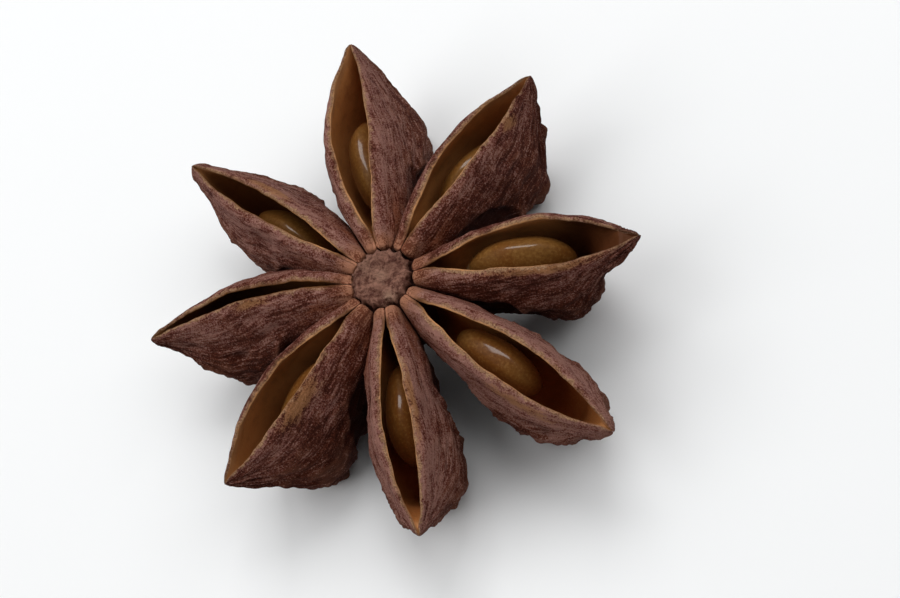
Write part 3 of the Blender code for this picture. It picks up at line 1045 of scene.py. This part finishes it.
def husk_reads(graph):
    """All that the husk's colours go by: the numbers that its points carry, and its noises."""
    at = {name: graph.fact(name) for name in ("cut", "relief", "pressed", "stain", "tip_shade", "paleness_and_light")}
    fibre = graph.fact("fibre", vector=True)
    place = graph.place()
    at["out"] = graph.parts(fibre)[0]
    at["height"] = graph.parts(place)[2]
    return {**at, **graph.noises(fibre, FIBRE_NOISES), **graph.noises(place, HUSK_NOISES)}


def husk_tone(graph, at):
    """How pale the husk is: about 0.5, streaked and mottled, paler for some pods and darker for
    others, partly as painted light and shade, and paler beside the lips and darker away from them as
    painted light and shade.
    """
    tone = graph.shares(at, TONE_SHARES)
    # How pale each pod is, partly painted light and shade
    tone = graph.plus(tone, graph.times(at["paleness_and_light"], PALENESS_AND_LIGHT_SHARE))
    # Painted light near the lips and painted shade farther from them
    return graph.plus(tone, graph.ramp(at["cut"], "lit near lip"))


def skin_colour(graph, at, tone):
    """The husk's outside: purple above and redder and darker below as painted shade, dark where
    pressed and on the keel, partly as painted shade, with a pale bloom that is partly a painted sheen,
    a painted highlight on its raised relief and painted shade in its sunk relief.
    """
    # Painted shade: lower down the husk is redder and darker
    low = graph.plus(at["height"], graph.times(at["cloud"], LOW_SHADE_SHIFT))
    skin = graph.lay(SKIN_PURPLE, SKIN_RED_AND_SHADE, low, "low")
    skin = graph.lay(skin, SKIN_BROWN, at["mottle"], "brown")
    skin = graph.lay(skin, SKIN_RED_AND_SHADE, tone, "red")
    skin = graph.lay(skin, SKIN_DARK_AND_SHADE, tone, "dark")
    skin = graph.lay(skin, SKIN_PALE, tone, "pale")
    root = graph.times(graph.ramp(at["out"], "root"), graph.ramp(at["cut"], "root flank"))
    root = graph.times(root, graph.ramp(at["coarse"], "root patches"))
    skin = graph.mix(root, skin, graph.lay(SKIN_ROOT, SKIN_WARM, tone, "root warm"))
    # Dark where pressed and on the rugged keel: partly the colour it has there, partly painted shade
    # in the hollows between the pods and under the keel
    skin = graph.mix(graph.times(at["pressed"], PRESSED_AND_SHADE_SHARE), skin, SKIN_DEEP_AND_SHADE)
    # The pale bloom, partly a painted sheen
    skin = graph.lay(skin, SKIN_BLOOM_AND_SHEEN, graph.shares(at, SPECK_SHARES), "bloom")
    # Painted highlight on the raised relief, and the pale creases
    proud = graph.plus(at["relief"], graph.times(at["mottle"], PROUD_LIGHT_SHIFT))
    skin = graph.lay(skin, SKIN_TAN_AND_RIDGE_LIGHT, proud, "proud")
    # Painted shade in the sunk relief
    skin = graph.lay(skin, SKIN_DARK_AND_SHADE, at["relief"], "sunk")
    stained = graph.ramp(graph.plus(at["stain"], graph.shares(at, STREAK_SHARES)), "stained")
    return graph.mix(graph.times(stained, graph.ramp(at["stain"], "stain edge")), skin, LIP_GOLD)


def lip_colour(graph, at, skin):
    """The skin with the torn, rolled edge of the lips over it, in patches."""
    shifted = graph.plus(at["cut"], graph.times(graph.minus(at["ripple"], 0.5), LIP_SHIFT))
    rolled = graph.times(graph.ramp(shifted, "rolled"), graph.ramp(at["out"], "rolled out"))
    rolled = graph.times(rolled, graph.ramp(at["cut"], "rolled in"))
    rolled = graph.times(rolled, graph.ramp(at["coarse"], "rolled patches"))
    return graph.mix(rolled, skin, graph.lay(LIP_BROWN, LIP_TAN, at["grain"], "torn"))


def inside_colour(graph, at):
    """The inside: golden, with a pale band under the lip that is partly painted light, and painted
    shade deep down, toward the tips and at the root.
    """
    # Painted shade: darker deeper inside
    sunk = graph.plus(at["cut"], graph.times(at["cloud"], SUNK_SHADE_SHIFT))
    satin = graph.lay(INSIDE_GOLD, INSIDE_DEEP_SHADE, sunk, "inside deep shade")
    satin = graph.lay(satin, INSIDE_DARK_AND_SHADE, sunk, "inside dark shade")
    satin = graph.lay(satin, INSIDE_DARK_AND_SHADE, at["mottle"], "inside mottle")
    satin = graph.lay(satin, INSIDE_FLECK, at["grain"], "inside fleck")
    # The pale band under the lip, partly painted light
    band = graph.times(graph.ramp(at["cut"], "inside lit band"), graph.minus(1.0, at["tip_shade"]))
    satin = graph.mix(graph.times(band, BAND_AND_LIGHT_SHARE), satin, INSIDE_BAND_AND_LIGHT)
    # Painted shadow deep inside toward the tips
    satin = graph.mix(at["tip_shade"], satin, INSIDE_SHADOW_RED)
    return graph.lay(satin, INSIDE_SHADE, at["out"], "inside root")


def finger_colour(graph, at, tone, colour):
    """A colour with the tan ends of the fingers over it."""
    shifted = graph.plus(at["out"], graph.times(at["mottle"], FINGER_SHIFT))
    finger = graph.times(graph.ramp(shifted, "finger"), graph.ramp(at["cut"], "finger flank"))
    finger = graph.times(finger, graph.ramp(at["height"], "finger top"))
    return graph.mix(finger, colour, graph.lay(FINGER_BROWN, FINGER_TAN, tone, "finger pale"))


def husk_finish():
    """The husk: fibrous and matt outside, tan where the seam tore, satin and golden inside."""
    graph = Graph("husk")
    at = husk_reads(graph)
    tone = husk_tone(graph, at)
    skin = lip_colour(graph, at, skin_colour(graph, at, tone))
    shifted = graph.plus(at["cut"], graph.times(at["ripple"], INSIDE_SHIFT))
    inside = graph.ramp(shifted, "inside")
    colour = graph.mix(inside, skin, inside_colour(graph, at))
    graph.colour(finger_colour(graph, at, tone, colour))
    graph.set(graph.shader.inputs["Roughness"], graph.ramp(inside, "husk roughness"))
    fine = graph.plus(graph.times(at["strands"], BUMP_SHARE), graph.times(at["grain"], BUMP_SHARE))
    graph.bump(graph.times(fine, graph.ramp(inside, "husk bump")), HUSK_BUMP)
    return graph.material


def disc_finish():
    """The disc: mottled brown and pitted, with paler patches, a pale bloom that is partly a painted
    sheen, and painted shade in its hollows and on its sides.
    """
    graph = Graph("disc")
    place = graph.place()
    at = graph.noises(place, DISC_NOISES)
    skin = graph.lay(DISC_BROWN, DISC_TAN, at["mottle"], "disc tan")
    patches = graph.times(graph.fact("stain"), graph.ramp(at["mottle"], "disc patches"))
    skin = graph.mix(patches, skin, DISC_PALE)
    skin = graph.lay(skin, SKIN_DARK_AND_SHADE, at["grain"], "disc pits")
    # A pale bloom, partly a painted sheen
    skin = graph.lay(skin, SKIN_BLOOM_AND_SHEEN, at["grain"], "disc bloom")
    # Painted shade in the disc's hollows
    skin = graph.lay(skin, SKIN_DEEP_AND_SHADE, graph.fact("relief"), "disc hollow shade")
    # Painted shade on the column's sides, down in the cracks
    graph.colour(graph.lay(skin, SKIN_DARK_AND_SHADE, graph.parts(place)[2], "disc side shade"))
    graph.bump(graph.plus(at["grain"], graph.times(at["mottle"], DISC_BUMP_MOTTLE)), DISC_BUMP)
    return graph.material


def seed_finish():
    """The seeds: polished, olive to amber brown, finely speckled, with a paler scar."""
    graph = Graph("seed coat")
    at = graph.noises(graph.place(), SEED_NOISES)
    coat = graph.lay(SEED_OLIVE, SEED_AMBER, at["cloud"], "seed amber")
    coat = graph.lay(coat, SEED_SPECK, at["grain"], "seed specks")
    coat = graph.lay(coat, SEED_DARK, at["grain"], "seed dark")
    graph.colour(graph.lay(coat, SEED_SCAR, graph.fact("scar"), "seed scar"))
    graph.bump(at["grain"], SEED_BUMP)
    return graph.material


def make_floor():
    """The plain pale surface that the fruit lies on."""
    mesh = bpy.data.meshes.new("floor")
    half = FLOOR_HALF * MM
    corners = [(-half, -half, 0), (half, -half, 0), (half, half, 0), (-half, half, 0)]
    mesh.from_pydata(corners, [], [(0, 1, 2, 3)])
    floor = bpy.data.objects.new("floor", mesh)
    bpy.context.scene.collection.objects.link(floor)
    graph = Graph("floor")
    graph.colour(FLOOR_WHITE)
    mesh.materials.append(graph.material)


def camera_axes():
    """The camera's right, up and backward directions, as the photograph was taken."""
    tilt = math.radians(TILT)
    roll = math.radians(ROLL)
    level = Vector((math.cos(roll), math.sin(roll), 0))
    slope = Vector((-math.sin(roll) * math.cos(tilt), math.cos(roll) * math.cos(tilt), math.sin(tilt)))
    right = math.cos(roll) * level - math.sin(roll) * slope
    up = math.sin(roll) * level + math.cos(roll) * slope
    return right, up, right.cross(up)


def make_camera():
    """The camera, with the disc where the photograph has it."""
    right, up, back = camera_axes()
    disc = Vector((AXIS_X, AXIS_Y, SEAM_HEIGHT)) * MM
    place = disc + back * CAMERA_DISTANCE * MM
    data = bpy.data.cameras.new("camera")
    camera = bpy.data.objects.new("camera", data)
    bpy.context.scene.collection.objects.link(camera)
    turn = Matrix((right, up, back)).transposed().to_4x4()
    camera.matrix_world = Matrix.Translation(place) @ turn
    data.sensor_width = SENSOR
    data.lens = SENSOR * PIXELS_PER_MM * CAMERA_DISTANCE / PICTURE_WIDTH
    data.shift_x = (PICTURE_WIDTH / 2 - DISC_PIXEL_X) / PICTURE_WIDTH
    data.shift_y = (DISC_PIXEL_Y - PICTURE_HEIGHT / 2) / PICTURE_WIDTH
    data.clip_start = CAMERA_NEAREST * MM
    bpy.context.scene.camera = camera


def make_light(name, toward, distance, size, power, glossy):
    """A square lamp, placed by a direction in the camera's right, up and backward axes."""
    right, up, back = camera_axes()
    direction = (right * toward[0] + up * toward[1] + back * toward[2]).normalized()
    data = bpy.data.lights.new(name, "AREA")
    data.size = size * MM
    data.energy = power
    lamp = bpy.data.objects.new(name, data)
    bpy.context.scene.collection.objects.link(lamp)
    lamp.location = direction * distance * MM
    lamp.rotation_mode = "QUATERNION"
    lamp.rotation_quaternion = direction.to_track_quat("Z", "Y")
    lamp.visible_glossy = glossy


def make_sky():
    """The pale room that lights the fruit from all round, and that the seeds don't reflect."""
    world = bpy.data.worlds.new("room")
    bpy.context.scene.world = world
    world.use_nodes = True
    sky = world.node_tree.nodes["Background"]
    sky.inputs["Color"].default_value = (*SKY_WHITE, 1.0)
    sky.inputs["Strength"].default_value = SKY_STRENGTH
    world.cycles_visibility.glossy = False


def main():
    """Makes the pieces, the stage, the light and the camera."""
    husk = husk_finish()
    coat = seed_finish()
    for number, carpel in enumerate(CARPELS, start=1):
        make_carpel(carpel, number, husk)
        make_seed(carpel, number, coat)
    make_disc(disc_finish())
    make_floor()
    make_camera()
    make_sky()
    for lamp in LAMPS:
        make_light(*lamp)
    bpy.context.scene.view_settings.view_transform = "Standard"


main()
